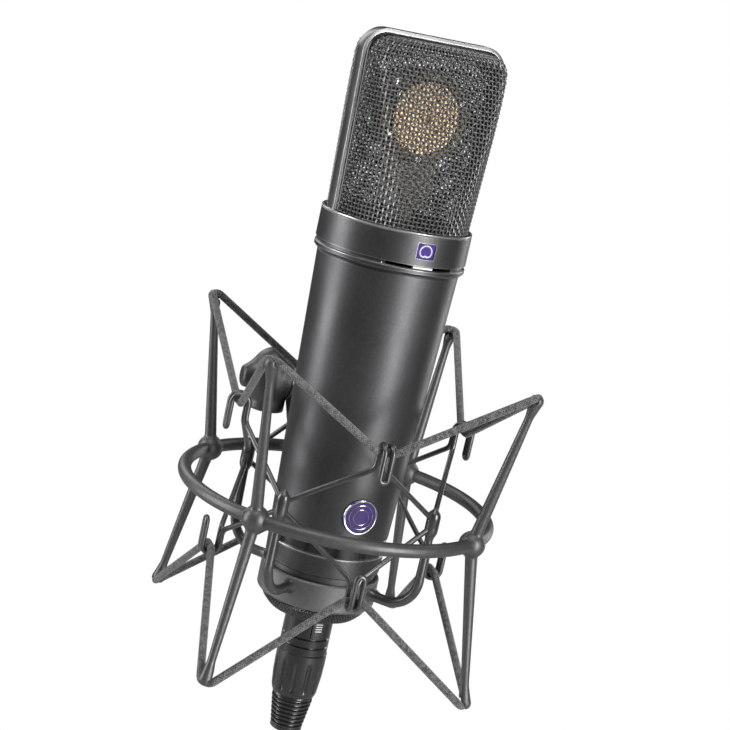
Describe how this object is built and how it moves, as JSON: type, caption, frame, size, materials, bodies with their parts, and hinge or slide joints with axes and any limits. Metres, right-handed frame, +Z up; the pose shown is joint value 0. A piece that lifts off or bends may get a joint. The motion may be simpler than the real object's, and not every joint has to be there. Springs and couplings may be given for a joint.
{
  "type": "condenser microphone in elastic suspension",
  "caption": "Side-address condenser microphone with a wire mesh head, held in an elastic suspension ring with a stand swivel and a cable plug.",
  "frame": {"origin": "centre of the stand thread's mouth, where the swivel block meets the stand", "axes": "+Z up along the microphone at rest, -Y the front of the suspension, -Z out of the stand thread"},
  "size_m": [0.121, 0.155, 0.269],
  "materials": {
    "black_satin": "satin baked enamel",
    "grille_black": "black wire mesh",
    "wire_black": "black powder coat on steel wire",
    "cast_black": "black enamel on zinc casting",
    "chrome_trim": "bright nickel",
    "elastic_braid": "braided elastic cord",
    "gold_film": "gold-sputtered film",
    "capsule_brass": "lapped brass",
    "black_plastic": "moulded, satin",
    "window_violet": "glossy",
    "badge_violet": "satin enamel on a round bright plate",
    "switch_white": "moulded",
    "band_black": "gloss black",
    "pad_rubber": "moulded",
    "boot_rubber": "moulded, satin",
    "ivory_plastic": "moulded",
    "board_green": "solder mask",
    "plated_steel": "zinc plate",
    "contact_silver": "silver plate"
  },
  "bodies": {
    "swivel_base": {"swivel_block": "cast_black", "thread_bush": "chrome_trim"},
    "clamp_bolt": {"hinge_bolt": "chrome_trim"},
    "ring_frame": {"bracket": "cast_black", "tooth_washer": "plated_steel", "outer_ring": "wire_black", "post_front_left": "wire_black", "post_front_right": "wire_black", "post_rear_right": "wire_black", "post_rear_left": "wire_black", "upper_elastic": "elastic_braid", "lower_elastic": "elastic_braid"},
    "cradle": {"upper_hook_front": "wire_black", "upper_hook_right": "wire_black", "upper_hook_rear": "wire_black", "upper_hook_left": "wire_black", "lower_hook_front": "wire_black", "lower_hook_right": "wire_black", "lower_hook_rear": "wire_black", "lower_hook_left": "wire_black", "cage_arm_front_left": "wire_black", "cage_arm_front_right": "wire_black", "cage_arm_rear_right": "wire_black", "cage_arm_rear_left": "wire_black", "base_cup": "cast_black", "cup_pad": "pad_rubber"},
    "nut": {"locking_nut": "cast_black", "snap_ring": "plated_steel"},
    "microphone": {"head_band": "black_satin", "front_grille": "grille_black", "rear_grille": "grille_black", "inner_gauze": "grille_black", "head_base": "black_plastic", "capsule_body": "capsule_brass", "diaphragms": "gold_film", "capsule_screws": "contact_silver", "capsule_post": "ivory_plastic", "collar": "black_satin", "pattern_window": "window_violet", "lip_ring": "black_satin", "body_tube": "black_satin", "chassis": "plated_steel", "amplifier_board": "board_green", "transformer": "plated_steel", "badge": "badge_violet", "band_ring": "band_black", "bottom_ring": "black_satin", "threaded_base": "black_satin", "output_socket": "black_plastic", "socket_pins": "contact_silver"},
    "pattern_selector": {"pattern_switch": "switch_white"},
    "pad_slider": {"pad_switch": "black_plastic"},
    "low_cut_slider": {"low_cut_switch": "black_plastic"},
    "cable_plug": {"plug_shell": "cast_black", "plug_insert": "black_plastic", "plug_grip": "black_plastic", "plug_boot": "boot_rubber", "plug_chuck": "ivory_plastic"},
    "latch": {"latch_button": "black_plastic"}
  },
  "joints": [
    {"name": "swivel_tilt", "type": "hinge", "parent": "swivel_base", "child": "ring_frame", "pos_m": [0, 0, 0.014], "axis": [1, 0, 0], "range_deg": [-30, 30]},
    {"name": "clamp_bolt_turn", "type": "hinge", "parent": "ring_frame", "child": "clamp_bolt", "pos_m": [0, 0, 0.014], "axis": [1, 0, 0], "range_deg": [-180, 360]},
    {"name": "suspension_bounce", "type": "slide", "parent": "ring_frame", "child": "cradle", "axis": [0, 0, 1], "range_m": [-0.005, 0.005], "stiffness_N_per_m": 2500, "springref_m": 0.0022, "deforming": ["upper_elastic", "lower_elastic"]},
    {"name": "nut_turn", "type": "hinge", "parent": "cradle", "child": "nut", "pos_m": [0.01, -0.085, -0.0504], "axis": [0, 0, 1], "range_deg": [0, 1440]},
    {"name": "mic_lift", "type": "slide", "parent": "cradle", "child": "microphone", "axis": [0, 0, 1], "range_m": [0, 0.004]},
    {"name": "pattern_turn", "type": "hinge", "parent": "microphone", "child": "pattern_selector", "pos_m": [0.01, -0.085, 0.0874], "axis": [0, 0, 1], "range_deg": [-18, 18]},
    {"name": "pad_slide", "type": "slide", "parent": "microphone", "child": "pad_slider", "axis": [0.9898, 0.1426, 0], "range_m": [-0.0018, 0.0018]},
    {"name": "low_cut_slide", "type": "slide", "parent": "microphone", "child": "low_cut_slider", "axis": [0.9898, 0.1426, 0], "range_m": [-0.0018, 0.0018]},
    {"name": "plug_pull", "type": "slide", "parent": "microphone", "child": "cable_plug", "axis": [0, 0, -1], "range_m": [0, 0.045]},
    {"name": "latch_press", "type": "slide", "parent": "cable_plug", "child": "latch", "axis": [-0.1426, 0.9898, 0], "range_m": [0, 0.001], "stiffness_N_per_m": 2000, "springref_m": -0.0002}
  ],
  "couplings": [
    {"joint": "nut_turn", "follows": "mic_lift", "rad_per_m": 6283.2}
  ]
}
